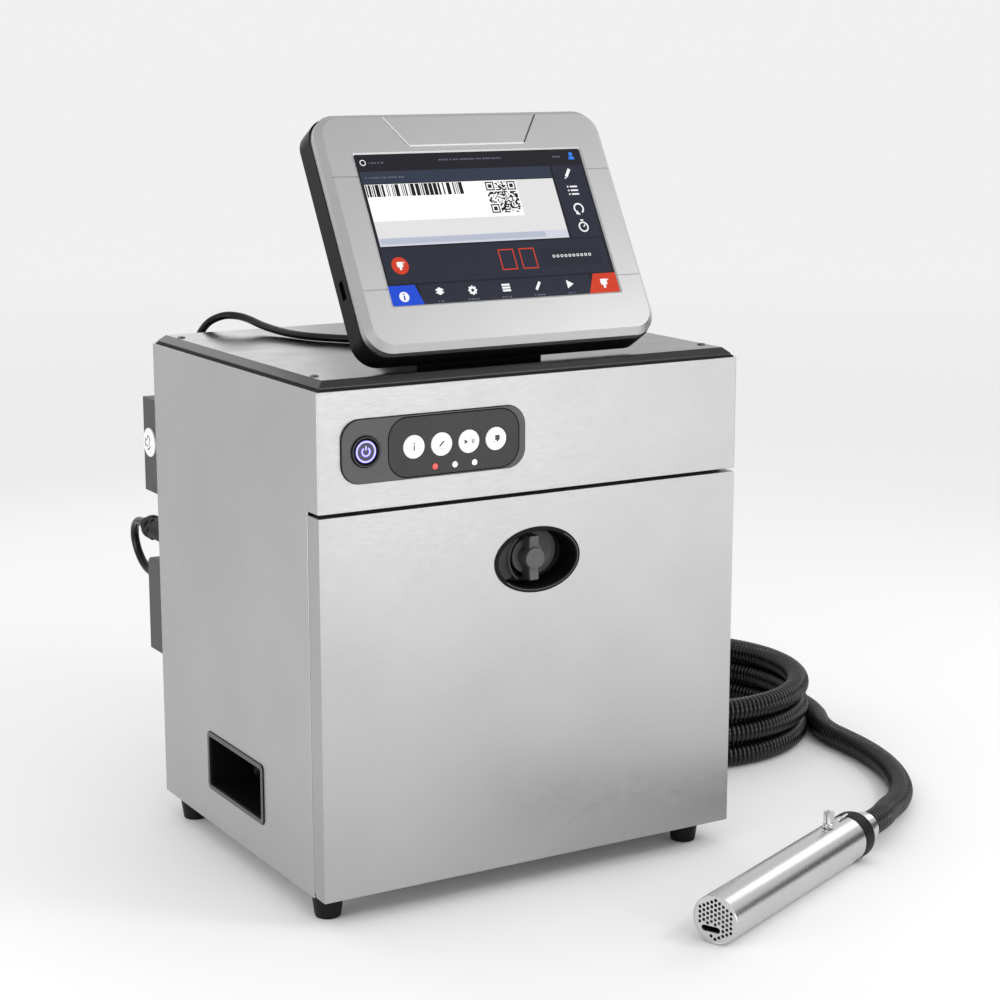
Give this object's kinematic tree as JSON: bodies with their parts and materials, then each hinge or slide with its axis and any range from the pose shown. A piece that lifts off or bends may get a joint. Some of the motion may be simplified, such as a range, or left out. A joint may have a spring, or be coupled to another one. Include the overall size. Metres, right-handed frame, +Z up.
{
  "type": "date code inkjet printer",
  "caption": "Continuous inkjet date coder with a stainless cabinet, drop-down door, tilting touch terminal, coiled umbilical hose and tubular printhead.",
  "frame": {"origin": "on the floor under the middle of the cabinet's footprint, in the plane of the rubber feet", "axes": "+Z up, the door and keypad face -Y, +X to the right seen from the front, where the coiled umbilical lies"},
  "size_m": [0.7143, 0.7012, 0.6466],
  "materials": {
    "brushed_steel": "brushed",
    "front_steel": "brushed",
    "inner_steel": "satin",
    "cover_metal": "satin",
    "black_rubber": "matte",
    "black_plastic": "matte",
    "housing_plastic": "matte",
    "bezel_grey": "satin",
    "membrane_grey": "satin",
    "key_white": "satin",
    "led_red": "gloss",
    "button_blue": "gloss",
    "knob_grey": "satin",
    "terminal_silver": "satin",
    "screen_glass": "gloss",
    "vent_white": "matte",
    "circuit_board": "satin",
    "alloy": "satin",
    "ink_tank_dark": "satin",
    "solvent_tank_pale": "satin",
    "pump_grey": "satin",
    "polished_steel": "polished",
    "electrode_brass": "satin",
    "screw_dark": "satin",
    "hose_black": "satin"
  },
  "bodies": {
    "cabinet": {"base_pan": "inner_steel", "left_side_panel": "brushed_steel", "right_side_panel": "brushed_steel", "back_panel": "brushed_steel", "fascia_panel": "front_steel", "mid_shelf": "inner_steel", "top_gasket": "black_rubber", "top_cover": "cover_metal", "cover_screws": "screw_dark", "rubber_feet": "black_rubber", "left_handle_cup": "black_plastic", "right_handle_cup": "black_plastic", "keypad_bezel": "bezel_grey", "keypad_membrane": "membrane_grey", "status_leds": "led_red", "power_button_ring": "black_plastic", "keypad_board": "circuit_board", "door_hinge_pin": "inner_steel", "stand_base": "black_plastic", "stand_hinge_pin": "inner_steel", "terminal_cable": "hose_black", "upper_rear_housing": "housing_plastic", "lower_rear_housing": "housing_plastic", "housing_vent_cap": "vent_white", "rear_gland": "black_plastic", "rear_lead": "hose_black", "mains_inlet": "black_plastic", "fan_frame": "housing_plastic", "main_board": "circuit_board", "power_supply": "alloy", "ink_tank": "ink_tank_dark", "solvent_tank": "solvent_tank_pale", "ink_pump": "pump_grey", "hydraulic_manifold": "pump_grey", "umbilical_gland": "black_plastic", "umbilical_lead": "hose_black", "umbilical_coil": "hose_black", "umbilical_run": "hose_black", "head_deck": "alloy", "head_electrodes": "electrode_brass", "head_rear_ring": "black_rubber", "head_ferrule": "polished_steel"},
    "door": {"door_panel": "front_steel", "latch_cup": "black_plastic"},
    "latch": {"latch_knob": "knob_grey", "latch_cam": "inner_steel"},
    "terminal": {"terminal_front_shell": "terminal_silver", "terminal_rear_shell": "black_plastic", "terminal_display": "screen_glass"},
    "power_button": {"power_button": "button_blue"},
    "info_key": {"info_key": "key_white"},
    "edit_key": {"edit_key": "key_white"},
    "run_key": {"run_key": "key_white"},
    "stop_key": {"stop_key": "key_white"},
    "mains_rocker": {"mains_rocker": "black_plastic"},
    "fan_rotor": {"fan_rotor": "housing_plastic"},
    "ink_cap": {"ink_cap": "black_plastic"},
    "solvent_cap": {"solvent_cap": "key_white"},
    "head_cover": {"head_cover": "polished_steel"},
    "head_thumb_screw": {"head_thumb_screw": "polished_steel"}
  },
  "joints": [
    {"name": "door_drop", "type": "hinge", "parent": "cabinet", "child": "door", "pos_m": [0, -0.161, 0.028], "axis": [1, 0, 0], "range_deg": [0, 75]},
    {"name": "latch_turn", "type": "hinge", "parent": "door", "child": "latch", "pos_m": [0, -0.168, 0.285], "axis": [0, -1, 0], "range_deg": [0, 90]},
    {"name": "terminal_tilt", "type": "hinge", "parent": "cabinet", "child": "terminal", "pos_m": [-0.024, -0.112, 0.466], "axis": [-1, 0, 0], "range_deg": [0, 35]},
    {"name": "power_press", "type": "slide", "parent": "cabinet", "child": "power_button", "axis": [0, 1, 0], "range_m": [0, 0.002], "stiffness_N_per_m": 600},
    {"name": "info_press", "type": "slide", "parent": "cabinet", "child": "info_key", "axis": [0, 1, 0], "range_m": [0, 0.0008], "stiffness_N_per_m": 1500},
    {"name": "edit_press", "type": "slide", "parent": "cabinet", "child": "edit_key", "axis": [0, 1, 0], "range_m": [0, 0.0008], "stiffness_N_per_m": 1500},
    {"name": "run_press", "type": "slide", "parent": "cabinet", "child": "run_key", "axis": [0, 1, 0], "range_m": [0, 0.0008], "stiffness_N_per_m": 1500},
    {"name": "stop_press", "type": "slide", "parent": "cabinet", "child": "stop_key", "axis": [0, 1, 0], "range_m": [0, 0.0008], "stiffness_N_per_m": 1500},
    {"name": "mains_switch", "type": "hinge", "parent": "cabinet", "child": "mains_rocker", "pos_m": [-0.006, 0.167, 0.105], "axis": [1, 0, 0], "range_deg": [0, 20]},
    {"name": "fan_spin", "type": "hinge", "parent": "cabinet", "child": "fan_rotor", "pos_m": [0.1, 0.154, 0.39], "axis": [0, 1, 0], "continuous": true},
    {"name": "ink_cap_turn", "type": "hinge", "parent": "cabinet", "child": "ink_cap", "pos_m": [-0.085, -0.045, 0.21], "axis": [0, 0, 1], "range_deg": [0, 360]},
    {"name": "solvent_cap_turn", "type": "hinge", "parent": "cabinet", "child": "solvent_cap", "pos_m": [0.075, -0.045, 0.21], "axis": [0, 0, 1], "range_deg": [0, 360]},
    {"name": "head_cover_slide", "type": "slide", "parent": "cabinet", "child": "head_cover", "axis": [-0.9128, -0.4083, 0], "range_m": [0, 0.2]},
    {"name": "thumb_screw_turn", "type": "hinge", "parent": "head_cover", "child": "head_thumb_screw", "pos_m": [0.23058, -0.27359, 0.041], "axis": [0, 0, 1], "range_deg": [0, 360]}
  ]
}
